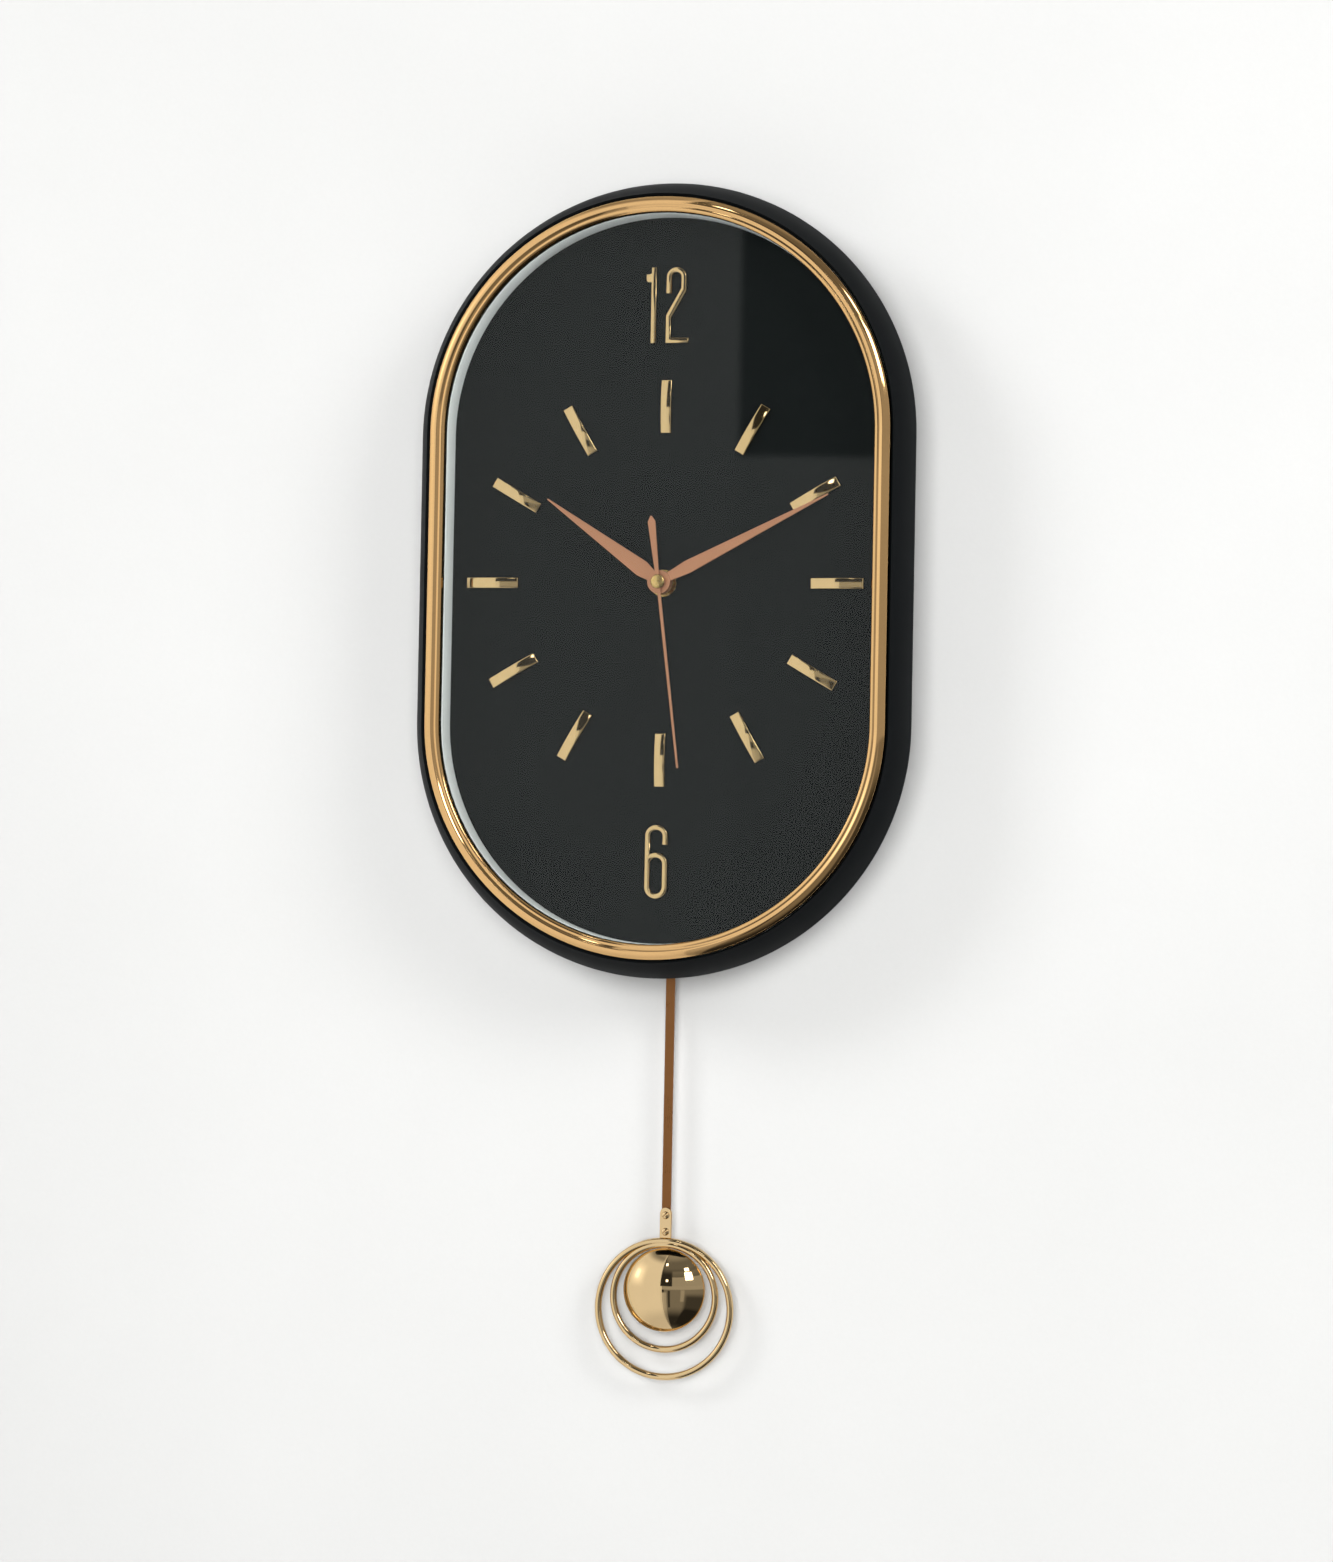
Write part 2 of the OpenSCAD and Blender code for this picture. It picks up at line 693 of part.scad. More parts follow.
module battery_contacts() {
    gap = (move_w - 2 * move_wall - cell_len) / 2;
    color([0.8, 0.8, 0.82]) upright() {
        translate([cell_len / 2 + 0.05, cell_y - 4.5, cell_h - 5]) cube([0.5, 9, 10]);
        translate([cell_len / 2 + 0.5, cell_y - 4.5, cell_h + 4.5]) cube([gap - 0.55, 9, 0.5]);
        translate([-cell_len / 2 - gap + 0.1, cell_y - 5, cell_h - 5]) cube([0.5, 10, 10]);
        for (i = [0:2]) translate([-cell_len / 2 - gap + 0.55 + i * 0.8, cell_y, cell_h])
            rotate([0, 90, 0]) ring(4.4 - i, 3.4 - i, 0.85);
    }
}

// ---- pendulum ----

module pendulum_case() {
    inner_w = pend_w - 2 * move_wall;
    color([0.14, 0.14, 0.15]) upright() difference() {
        translate([-pend_w / 2, pend_bottom, pend_back])
            cube([pend_w, pend_top - pend_bottom, move_back - pend_back]);
        translate([-inner_w / 2, pend_bottom - 1, pend_back + move_wall])
            cube([inner_w, pend_top - pend_bottom - move_wall + 1, move_back - pend_back - 2 * move_wall]);
        translate([0, pivot_y, pend_back - 1]) cylinder(r = pivot_r, h = move_back - pend_back - 0.5);
    }
}

module pendulum_pivot_pin() {
    color([0.75, 0.75, 0.77]) upright() translate([0, pivot_y, pend_back])
        cylinder(r = pivot_r, h = move_back - pend_back - 1.5);
}

module drive_coil() {
    coil_h = 4.4;
    color([0.72, 0.38, 0.16]) upright() translate([0, magnet_y, move_back - move_wall - coil_h])
        ring(7.6, 2.6, coil_h);
}

module swing_arm() {
    color([0.9, 0.9, 0.86]) upright() difference() {
        union() {
            translate([-arm_w / 2, arm_bottom, arm_h]) cube([arm_w, pivot_y - arm_bottom, arm_t]);
            translate([0, pivot_y, arm_h - 5]) cylinder(r = 4, h = arm_t + 9);
            translate([0, magnet_y, arm_h]) cylinder(r = magnet_r + 1, h = arm_t);
            translate([0, hook_y, rod_plane - 1.8]) cylinder(r = hook_r, h = arm_h - rod_plane + 2);
        }
        translate([0, pivot_y, arm_h - 6]) cylinder(r = pivot_r + fit, h = arm_t + 12);
    }
}

module drive_magnet() {
    color([0.5, 0.5, 0.52]) upright() translate([0, magnet_y, arm_h + arm_t])
        cylinder(r = magnet_r, h = 2.6);
}

module pendulum_rod() {
    rod_bottom = -rod_drop - plate_len + 2.5;
    color([0.5, 0.33, 0.19]) upright() difference() {
        translate([-rod_w / 2, rod_bottom, rod_plane - rod_t / 2])
            cube([rod_w, hook_y + 4.5 - rod_bottom, rod_t]);
        translate([0, hook_y, rod_plane - 2]) cylinder(r = hook_r + fit, h = 4);
        for (y = bob_screw_y) translate([0, y, rod_plane - 2]) cylinder(r = 1 + fit, h = 4);
    }
}

module bob_plate() {
    low = rod_plane + rod_t / 2;
    color([0.86, 0.68, 0.4]) upright() difference() {
        union() {
            translate([-plate_w / 2, -rod_drop - plate_len, low])
                cube([plate_w, plate_len - plate_w / 2, plate_t]);
            translate([0, -rod_drop - plate_w / 2, low]) cylinder(r = plate_w / 2, h = plate_t);
        }
        for (y = bob_screw_y) translate([0, y, low - 1]) cylinder(r = 1 + fit, h = 4);
    }
}

module bob_screws() {
    low = rod_plane + rod_t / 2 + plate_t;
    color([0.9, 0.74, 0.45]) upright() for (y = bob_screw_y) translate([0, y, 0]) {
        translate([0, 0, rod_plane - 1.6]) cylinder(r = 1, h = low - rod_plane + 1.8);
        intersection() {
            translate([0, 0, low - 1.2]) sphere(r = 2.6);
            translate([0, 0, low]) cylinder(r = 3, h = 3);
        }
    }
}

module bob_ring(y, mid_r) {
    translate([0, y, bob_h]) rotate_extrude($fn = 180) translate([mid_r, 0]) circle(r = wire_r, $fn = 40);
}

module bob_outer_ring() {
    color([0.85, 0.66, 0.36]) upright() bob_ring(outer_y, outer_mid_r);
}

module bob_inner_ring() {
    color([0.85, 0.66, 0.36]) upright() bob_ring(inner_y, inner_mid_r);
}

module bob_back_plate() {
    color([0.8, 0.62, 0.34]) upright() translate([0, dome_y, bob_h - dome_back_t / 2]) {
        cylinder(r = dome_r, h = dome_back_t);
        translate([-2.5, dome_r - 2, 0]) cube([5, 3.95, dome_back_t]);
    }
}

module bob_dome() {
    low = bob_h + dome_back_t / 2;
    color([0.88, 0.7, 0.4]) upright() translate([0, dome_y, low]) intersection() {
        translate([0, 0, dome_rise - dome_sphere_r]) difference() {
            sphere(r = dome_sphere_r, $fn = 180);
            sphere(r = dome_sphere_r - 1, $fn = 180);
        }
        cylinder(r = dome_r + 1, h = dome_rise + 1);
    }
}

case_shell();
bezel_ring();
lens_glass();
lens_gasket();
reflector_ring();
dial_plate();
rear_cover();
rear_cover_screws();
movement_case_front();
movement_case_rear();
rubber_washer();
fixing_nut();
circuit_board();
motor_coil();
motor_stator();
rotor();
intermediate_wheel();
second_arbor();
third_wheel();
minute_arbor();
motion_wheel();
hour_wheel();
setting_knob();
battery();
battery_contacts();
hour_hand();
minute_hand();
second_hand();
second_hand_cap();
numeral_one();
numeral_two();
numeral_six();
pendulum_case();
pendulum_pivot_pin();
drive_coil();
swing_arm();
drive_magnet();
pendulum_rod();
bob_plate();
bob_screws();
bob_outer_ring();
bob_inner_ring();
bob_back_plate();
bob_dome();
for (hour = [1:12]) hour_marker(hour);
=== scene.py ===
import json
import math

import bmesh
import bpy
from mathutils import Matrix, Vector


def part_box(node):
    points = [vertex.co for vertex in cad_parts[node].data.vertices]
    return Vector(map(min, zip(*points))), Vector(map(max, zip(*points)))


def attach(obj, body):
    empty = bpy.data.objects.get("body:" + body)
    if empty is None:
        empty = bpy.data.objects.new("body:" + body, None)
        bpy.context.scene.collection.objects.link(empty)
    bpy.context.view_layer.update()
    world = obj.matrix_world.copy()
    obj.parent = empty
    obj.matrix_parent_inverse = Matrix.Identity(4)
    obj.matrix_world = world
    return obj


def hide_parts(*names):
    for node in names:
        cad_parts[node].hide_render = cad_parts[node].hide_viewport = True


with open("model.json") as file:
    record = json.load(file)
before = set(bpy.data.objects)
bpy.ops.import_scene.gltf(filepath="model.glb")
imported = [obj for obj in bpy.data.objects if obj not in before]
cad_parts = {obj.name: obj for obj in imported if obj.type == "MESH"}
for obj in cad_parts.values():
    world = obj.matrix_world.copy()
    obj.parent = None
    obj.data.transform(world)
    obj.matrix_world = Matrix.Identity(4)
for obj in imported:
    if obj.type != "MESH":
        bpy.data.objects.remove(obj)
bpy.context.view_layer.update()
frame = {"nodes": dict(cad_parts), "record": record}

# The clock hangs on the wall plane y = 0, its front faces -Y and +Z is up.
# In this script h is a height above the wall, so a point is (x, -h, z). Lengths are in metres.
MM = 0.001

RECORD = frame["record"]
BODY_OF = {node: body for body, nodes in RECORD["behaviour"]["bodies"].items() for node in nodes}
SLOT_OF = {part["node"]: part["material_slot"] for part in RECORD["subparts"]}
ARBOR = next(Vector(j["pos_m"]) for j in RECORD["behaviour"]["joints"] if j["name"] == "second_spin")


# ---------------------------------------------------------------- measures taken from the frame

class Extent:
    """The box of a CAD node: its middle, width, height and its heights above the wall."""

    def __init__(self, node):
        low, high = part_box(node)
        self.x, self.z = (low.x + high.x) / 2, (low.z + high.z) / 2
        self.width, self.height = high.x - low.x, high.z - low.z
        self.back, self.front = -high.y, -low.y
        self.low, self.high = low, high


CASE = Extent("case_shell")
BEZEL = Extent("bezel_ring")
GLASS = Extent("lens_glass")
REFLECTOR = Extent("reflector_ring")
DIAL = Extent("dial_plate")
CASE_R = CASE.width / 2
HALF_STRAIGHT = CASE.height / 2 - CASE_R
MIDDLE_Z = CASE.z


# ---------------------------------------------------------------- materials

class Nodes:
    """A short way to build a node tree."""

    def __init__(self, tree):
        self.tree = tree
        self.tree.nodes.clear()

    def add(self, kind, inputs=(), **settings):
        node = self.tree.nodes.new("ShaderNode" + kind)
        for key, value in settings.items():
            setattr(node, key, value)
        for key, value in dict(inputs).items():
            self.feed(node, key, value)
        return node

    def feed(self, node, key, value):
        if isinstance(value, bpy.types.NodeSocket):
            self.tree.links.new(value, node.inputs[key])
        else:
            node.inputs[key].default_value = value

    def math(self, operation, a, b=0.0):
        return self.add("Math", {0: a, 1: b}, operation=operation).outputs[0]

    def noise(self, coords, scale, detail=3.0, roughness=0.5):
        node = self.add("TexNoise", {"Vector": coords, "Scale": scale, "Detail": detail,
                                     "Roughness": roughness})
        return node.outputs["Fac"]

    def spread(self, value, low, high):
        """Stretches the middle of a noise over a range."""
        node = self.add("MapRange", {"Value": value, "From Min": 0.3, "From Max": 0.7,
                                     "To Min": low, "To Max": high})
        return node.outputs["Result"]

    def blend(self, factor, a, b):
        node = self.add("Mix", data_type="RGBA")
        self.feed(node, 0, factor)
        self.feed(node, 6, a)
        self.feed(node, 7, b)
        return node.outputs[2]

    def bump(self, height, strength, distance, normal=None):
        inputs = {"Height": height, "Strength": strength, "Distance": distance}
        if normal is not None:
            inputs["Normal"] = normal
        return self.add("Bump", inputs).outputs["Normal"]


def rgba(color):
    return (*color, 1.0)


def scaled(color, factor):
    return tuple(min(channel * factor, 1.0) for channel in color)


def new_material(name):
    material = bpy.data.materials.new(name)
    material.use_nodes = True
    nodes = Nodes(material.node_tree)
    coords = nodes.add("TexCoord").outputs["Object"]
    return material, nodes, coords


def show(nodes, shader):
    nodes.add("OutputMaterial", {"Surface": shader})


def surface(name, color, rough, metallic=0.0, vary=0.08, rough_vary=0.15, cloud=12 * MM, grain=0.4 * MM,
            relief=0.0, swell=0.0, stretch=(1, 1, 1), specular=0.5, edge=(1, 1, 1), turned=0.0):
    """A surface with clouded colour and gloss, a fine grain in relief, and a slow swell.
    color is its middle colour, cloud and grain are sizes, stretch draws the grain out, edge is the
    tint of its slanting reflections, and turned gives the drawn-out shine of a part from a lathe."""
    material, nodes, coords = new_material(name)
    clouds = nodes.noise(coords, 1 / cloud, 4.0)
    darker = rgba(scaled(color, 1 - vary))
    lighter = rgba(scaled(color, 1 + vary))
    drawn = nodes.add("Mapping", {"Vector": coords, "Scale": stretch}).outputs["Vector"]
    fine = nodes.noise(drawn, 1 / grain, 2.0)
    mixed = nodes.math("ADD", nodes.math("MULTIPLY", clouds, 0.6), nodes.math("MULTIPLY", fine, 0.4))
    shader = nodes.add("BsdfPrincipled", {
        "Base Color": nodes.blend(nodes.spread(mixed, 0.0, 1.0), darker, lighter),
        "Roughness": nodes.spread(mixed, rough * (1 - rough_vary), rough * (1 + rough_vary)),
        "Metallic": metallic, "Specular IOR Level": specular, "Specular Tint": rgba(edge),
    })
    if turned:
        round_axis = nodes.add("Tangent", direction_type="RADIAL", axis="Y").outputs[0]
        nodes.feed(shader, "Tangent", round_axis)
        nodes.feed(shader, "Anisotropic", turned)
    normal = None
    if swell:
        swell_size = 30 * MM
        normal = nodes.bump(nodes.noise(coords, 1 / swell_size, 1.0), 0.6, swell)
    if relief:
        normal = nodes.bump(fine, 0.5, relief, normal)
    if normal is not None:
        nodes.feed(shader, "Normal", normal)
    show(nodes, shader.outputs[0])
    return material


def clear_glass():
    """Thin window glass: it mirrors a little, more at a slant, and lets everything else straight through."""
    material, nodes, coords = new_material("clear_glass")
    facing = nodes.add("LayerWeight", {"Blend": 0.5}).outputs["Facing"]
    head_on_share, slant_share = 0.0106, 0.9
    slant = nodes.math("POWER", facing, 5.0)
    mirrored = nodes.math("ADD", nodes.math("MULTIPLY", slant, slant_share), head_on_share)
    smear = nodes.spread(nodes.noise(coords, 1 / (60 * MM), 4.0), 0.0, 0.004)
    tint_clouds = nodes.noise(coords, 1 / (90 * MM), 2.0)
    tint = nodes.blend(tint_clouds, (0.965, 0.985, 0.98, 1), (0.985, 1.0, 0.995, 1))
    through = nodes.add("BsdfTransparent", {"Color": tint}).outputs[0]
    mirror = nodes.add("BsdfAnisotropic", {"Color": (0.97, 1.0, 1.0, 1), "Roughness": smear}).outputs[0]
    show(nodes, nodes.add("MixShader", {0: mirrored, 1: through, 2: mirror}).outputs[0])
    return material


def copper_winding():
    """Enamelled wire, wound close: fine ridges across the coil, with painted shade in the grooves between
    turns.
    """
    material, nodes, coords = new_material("copper_winding")
    wave = nodes.add("TexWave", {"Vector": coords, "Scale": 1 / (1.2 * MM), "Distortion": 0.6,
                                 "Detail": 1.0}, bands_direction="DIAGONAL").outputs["Fac"]
    shader = nodes.add("BsdfPrincipled", {
        # painted shade: the colour follows the ridge height, so the grooves between turns are painted dark
        "Base Color": nodes.blend(wave, (0.35, 0.09, 0.02, 1), (0.78, 0.30, 0.10, 1)),
        "Roughness": nodes.spread(wave, 0.45, 0.25), "Metallic": 0.9,
        "Normal": nodes.bump(wave, 0.6, 0.1 * MM)})
    show(nodes, shader.outputs[0])
    return material


def circuit_green():
    """Solder mask with lighter tracks under it."""
    material, nodes, coords = new_material("circuit_green")
    cells = nodes.add("TexBrick", {"Vector": coords, "Scale": 1 / (4 * MM), "Mortar Size": 0.08,
                                   "Color1": (0.01, 0.09, 0.035, 1), "Color2": (0.014, 0.11, 0.04, 1),
                                   "Mortar": (0.04, 0.22, 0.08, 1)})
    shader = nodes.add("BsdfPrincipled", {
        "Base Color": cells.outputs["Color"], "Coat Weight": 0.4, "Coat Roughness": 0.15,
        "Roughness": nodes.spread(nodes.noise(coords, 1 / MM), 0.3, 0.45),
        "Normal": nodes.bump(cells.outputs["Fac"], 0.4, 0.05 * MM)})
    show(nodes, shader.outputs[0])
    return material


def battery_jacket():
    """A plain dark sleeve with a copper-coloured band at its positive end."""
    cell = Extent("battery")
    material, nodes, coords = new_material("battery_jacket")
    along = nodes.add("SeparateXYZ", {"Vector": coords}).outputs["X"]
    band = nodes.math("GREATER_THAN", along, cell.high.x - 0.26 * cell.width)
    scuffs = nodes.spread(nodes.noise(coords, 1 / (3 * MM), 5.0), 0.0, 1.0)
    dark = nodes.blend(scuffs, (0.012, 0.013, 0.015, 1), (0.022, 0.024, 0.028, 1))
    copper = nodes.blend(scuffs, (0.55, 0.24, 0.08, 1), (0.72, 0.36, 0.14, 1))
    shader = nodes.add("BsdfPrincipled", {
        "Base Color": nodes.blend(band, dark, copper), "Roughness": nodes.spread(scuffs, 0.22, 0.34),
        "Metallic": nodes.math("MULTIPLY", band, 0.9), "Coat Weight": 0.5, "Coat Roughness": 0.1,
        "Normal": nodes.bump(scuffs, 0.15, 0.05 * MM)})
    show(nodes, shader.outputs[0])
    return material


MATERIALS = {
    "case_black": surface(
        "case_black", (0.0030, 0.0036, 0.0040), 0.5, vary=0.1, cloud=40 * MM, grain=0.35 * MM,
        relief=0.005 * MM, specular=0.03),
    "bezel_gold": surface(
        "bezel_gold", (0.80, 0.505, 0.225), 0.07, 1.0, vary=0.04, rough_vary=0.3, cloud=25 * MM,
        grain=1.2 * MM, relief=0.0003 * MM, swell=0.008 * MM, edge=(0.9, 0.66, 0.4)),
    "clear_glass": clear_glass(),
    "black_rubber": surface(
        "black_rubber", (0.008, 0.008, 0.008), 0.75, grain=0.2 * MM, relief=0.03 * MM),
    "reflector_silver": surface(
        "reflector_silver", (0.82, 0.82, 0.81), 0.4, 0.1, vary=0.04, cloud=30 * MM,
        grain=0.5 * MM, relief=0.004 * MM),
    "dial_charcoal": surface(
        "dial_charcoal", (0.0031, 0.0037, 0.0038), 0.6, vary=0.07, cloud=70 * MM,
        grain=0.25 * MM, relief=0.002 * MM, specular=0.06),
    "rear_black": surface(
        "rear_black", (0.012, 0.012, 0.013), 0.55, vary=0.15, cloud=30 * MM, grain=0.7 * MM,
        relief=0.12 * MM, specular=0.4),
    "screw_steel": surface(
        "screw_steel", (0.55, 0.56, 0.58), 0.32, 1.0, vary=0.1, cloud=2 * MM, grain=0.15 * MM,
        relief=0.02 * MM),
    "movement_black": surface(
        "movement_black", (0.014, 0.014, 0.015), 0.36, vary=0.12, cloud=15 * MM, grain=0.4 * MM,
        relief=0.04 * MM),
    "brass_fitting": surface(
        "brass_fitting", (0.80, 0.55, 0.22), 0.26, 1.0, vary=0.06, rough_vary=0.25, cloud=3 * MM,
        grain=0.2 * MM, relief=0.002 * MM, turned=0.8),
    "circuit_green": circuit_green(),
    "copper_winding": copper_winding(),
    "stator_steel": surface(
        "stator_steel", (0.45, 0.45, 0.47), 0.38, 1.0, vary=0.12, cloud=4 * MM, grain=0.2 * MM,
        relief=0.02 * MM, stretch=(1, 1, 8)),
    "magnet_grey": surface(
        "magnet_grey", (0.40, 0.40, 0.42), 0.25, 1.0, vary=0.08, cloud=5 * MM, grain=0.3 * MM,
        relief=0.01 * MM),
    "gear_nylon": surface(
        "gear_nylon", (0.78, 0.76, 0.70), 0.45, vary=0.05, cloud=5 * MM, grain=0.2 * MM,
        relief=0.02 * MM),
    "battery_jacket": battery_jacket(),
    "contact_plate": surface(
        "contact_plate", (0.66, 0.66, 0.67), 0.28, 1.0, vary=0.08, cloud=4 * MM, grain=0.2 * MM,
        relief=0.01 * MM),
    "hand_rose": surface(
        "hand_rose", (0.53, 0.25, 0.143), 0.42, 0.85, vary=0.05, cloud=14 * MM, grain=0.25 * MM,
        relief=0.004 * MM),
    "marker_gold": surface(
        "marker_gold", (0.80, 0.56, 0.285), 0.06, 1.0, vary=0.05, rough_vary=0.3, cloud=6 * MM,
        grain=0.3 * MM, relief=0.0005 * MM, swell=0.006 * MM, edge=(0.8, 0.6, 0.35)),
    "rod_copper": surface(
        "rod_copper", (0.30, 0.135, 0.05), 0.3, 1.0, vary=0.1, cloud=10 * MM, grain=0.25 * MM,
        relief=0.012 * MM, stretch=(1, 1, 0.04)),
    "bob_gold": surface(
        "bob_gold", (0.75, 0.56, 0.31), 0.05, 1.0, vary=0.03, rough_vary=0.4, cloud=12 * MM,
        grain=0.5 * MM, relief=0.0003 * MM, edge=(0.75, 0.5, 0.22)),
}


# ---------------------------------------------------------------- making pieces

def add_piece(name, mesh, slot, body, replaced=(), sharp=30):
    """Puts a mesh in the scene as a piece with its slot's material, smooth but for its sharp edges."""
    mesh.materials.clear()
    mesh.materials.append(MATERIALS[slot])
    mesh.shade_smooth()
    mesh.set_sharp_from_angle(angle=math.radians(sharp))
    piece = bpy.data.objects.new(name, mesh)
    bpy.context.scene.collection.objects.link(piece)
    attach(piece, body)
    if replaced:
        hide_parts(*replaced)
    return piece


def stand_in(node, name, mesh, sharp=30):
    """A piece in place of one CAD node, on its body and with its slot."""
    return add_piece(name, mesh, SLOT_OF[node], BODY_OF[node], [node], sharp)


def keep_flat_faces_flat(piece):
    modifier = piece.modifiers.new("flat_faces", "WEIGHTED_NORMAL")
    modifier.keep_sharp = True
    modifier.weight = 100


def rounded_copy(node, name, radius, segments=3, angle=35):
    """A piece with a CAD node's own shape and all its sharp edges rounded over."""
    same_place, flat_enough = 1e-7, math.radians(0.4)
    shape = bmesh.new()
    shape.from_mesh(frame["nodes"][node].data)
    bmesh.ops.remove_doubles(shape, verts=shape.verts, dist=same_place)
    bmesh.ops.dissolve_limit(shape, angle_limit=flat_enough, verts=shape.verts, edges=shape.edges)
    mesh = bpy.data.meshes.new(name)
    shape.to_mesh(mesh)
    shape.free()
    piece = stand_in(node, name, mesh, angle)
    bevel = piece.modifiers.new("rounding", "BEVEL")
    bevel.width, bevel.segments = radius, segments
    bevel.limit_method, bevel.angle_limit = "ANGLE", math.radians(angle)
    bevel.use_clamp_overlap = True
    keep_flat_faces_flat(piece)
    return piece


def mesh_from(shape, name):
    """The finished mesh of a closed shape, with all its faces turned outwards."""
    bmesh.ops.recalc_face_normals(shape, faces=shape.faces)
    if shape.calc_volume(signed=True) < 0:
        bmesh.ops.reverse_faces(shape, faces=shape.faces)
    mesh = bpy.data.meshes.new(name)
    shape.to_mesh(mesh)
    shape.free()
    return mesh


def filleted(corners, steps=4):
    """A closed outline with its corners rounded. Each corner is (across, up, radius).
    A rounding takes no more than about half of the shorter side beside it."""
    longest_cut = 0.48
    outline = []
    count = len(corners)
    for i, (a, b, radius) in enumerate(corners):
        here = Vector((a, b))
        if not radius:
            outline.append(here)
            continue
        before = Vector(corners[i - 1][:2]) - here
        after = Vector(corners[(i + 1) % count][:2]) - here
        reach = min(before.length, after.length) * longest_cut
        half = before.angle(after) / 2
        cut = min(radius / math.tan(half), reach)
        radius = cut * math.tan(half)
        centre = here + (before.normalized() + after.normalized()).normalized() * radius / math.sin(half)
        first = here + before.normalized() * cut - centre
        last = here + after.normalized() * cut - centre
        turn = first.angle_signed(last)
        for step in range(steps + 1):
            outline.append(centre + Matrix.Rotation(-turn * step / steps, 2) @ first)
    return outline


def profile_from(start, bends, steps=10):
    """Points of a profile that runs inwards from start. Each bend is (width, first tilt, last tilt),
    and its tilt changes evenly across its width."""
    across, up = start
    points = [(across, up, 0)]
    for width, first, last in bends:
        for i in range(steps):
            tilt = math.radians(first + (last - first) * (i + 0.5) / steps)
            across -= width / steps
            up += width / steps * math.tan(tilt)
            points.append((across, up, 0))
    return points


def stadium_path(arc_steps=144, straight_steps=48):
    """Once round the stadium: each stop is the height of the arc's centre and the outward angle."""
    stops = []
    for side in (1, -1):
        turn = 0 if side == 1 else math.pi
        for i in range(straight_steps):
            stops.append((side * HALF_STRAIGHT * (2 * i / straight_steps - 1), turn))
        for i in range(arc_steps):
            stops.append((side * HALF_STRAIGHT, turn + math.pi * i / arc_steps))
    return stops


def on_stadium(stop, r, h):
    centre, angle = stop
    return Vector((r * math.cos(angle), -h, MIDDLE_Z + centre + r * math.sin(angle)))


def swept(outline, path, keep=None):
    """Sweeps an outline of (radius, height) round the stadium. keep says which faces stay."""
    shape = bmesh.new()
    rows = [[shape.verts.new(on_stadium(stop, r, h)) for r, h in outline] for stop in path]
    for i, row in enumerate(rows):
        following = rows[(i + 1) % len(rows)]
        for j in range(len(outline)):
            k = (j + 1) % len(outline)
            if keep is None or keep(path[i], path[(i + 1) % len(rows)], outline[j], outline[k]):
                shape.faces.new((row[j], row[k], following[k], following[j]))
    return shape


def lathe(profile, x, z, name, steps=128):
    """Turns a profile of (radius, height) about an axis that stands on the wall at x, z."""
    shape = bmesh.new()
    rows = []
    for i in range(steps):
        turn = 2 * math.pi * i / steps
        rows.append([shape.verts.new((x + r * math.cos(turn), -h, z + r * math.sin(turn)))
                     for r, h in profile])
    for i, row in enumerate(rows):
        following = rows[(i + 1) % steps]
        for j in range(len(profile) - 1):
            shape.faces.new((row[j], row[j + 1], following[j + 1], following[j]))
    bmesh.ops.remove_doubles(shape, verts=shape.verts, dist=1e-7)
    return mesh_from(shape, name)


# ---------------------------------------------------------------- case, bezel and reflector

def build_case():
    """The moulded shell: sloping front border, widest edge, rear wall that tapers to the wall plane,
    dial shelf inside, and the slot at its foot that the rod swings in."""
    wall, tip, top = 2.6 * MM, 0.6 * MM, CASE.front
    dial_h = DIAL.front
    rim, seat = BEZEL.width / 2 + 0.2 * MM, BEZEL.width / 2 + 0.35 * MM
    shelf_back, shelf_in = DIAL.back - 2.5 * MM, CASE_R - 27 * MM
    slot_low, slot_high, slot_half = 5 * MM, 20 * MM, 40 * MM
    lip_w, lip_h = 1.4 * MM, 2.2 * MM
    slope_w, slope_h = CASE_R - seat - lip_w, top - dial_h
    slope = []
    slope_steps, slope_bulge = 24, 0.9 * MM
    for i in range(slope_steps + 1):
        t = i / slope_steps
        out = slope_bulge * math.sin(math.pi * t)
        slope.append((seat + lip_w + slope_w * t + out, top - slope_h * t + out / 2, 0))

    def rear_wall(h, inset):
        across = rim + (CASE_R - tip - rim) * h / (dial_h - 3 * MM) - inset
        return (across, h, 0)

    corners = [(seat, top - lip_h, 0.25 * MM), *slope,
               (CASE_R, dial_h - 1.6 * MM, 0.5 * MM), (CASE_R - tip, dial_h - 3 * MM, 0.8 * MM),
               rear_wall(slot_high, 0), rear_wall(slot_low, 0), (rim, 0, 0.4 * MM),
               (rim - wall, 0, 0.3 * MM), rear_wall(slot_low, wall), rear_wall(slot_high, wall),
               (CASE_R - wall - tip, dial_h - 4 * MM, 0), (seat + 2.2 * MM, top - 3.8 * MM, 0),
               (seat + 2.2 * MM, shelf_back, 0), (shelf_in, shelf_back, 0.3 * MM),
               (shelf_in, DIAL.back, 0.3 * MM), (seat, DIAL.back, 0)]
    outline = filleted(corners)
    path = stadium_path()

    def outside_slot(a, b, p, q):
        in_band = all(slot_low - 1e-6 < r_h[1] < slot_high + 1e-6 for r_h in (p, q))
        at_foot = all(stop[0] < 0 and abs(r_h[0] * math.cos(stop[1])) < slot_half + 0.6 * MM
                      and math.sin(stop[1]) < -0.5 for stop in (a, b) for r_h in (p, q))
        return not (in_band and at_foot)

    shape = swept(outline, path, outside_slot)
    edges = [edge for edge in shape.edges if edge.is_boundary]
    bmesh.ops.bridge_loops(shape, edges=edges)
    stand_in("case_shell", "case_body", mesh_from(shape, "case_body"), 35)


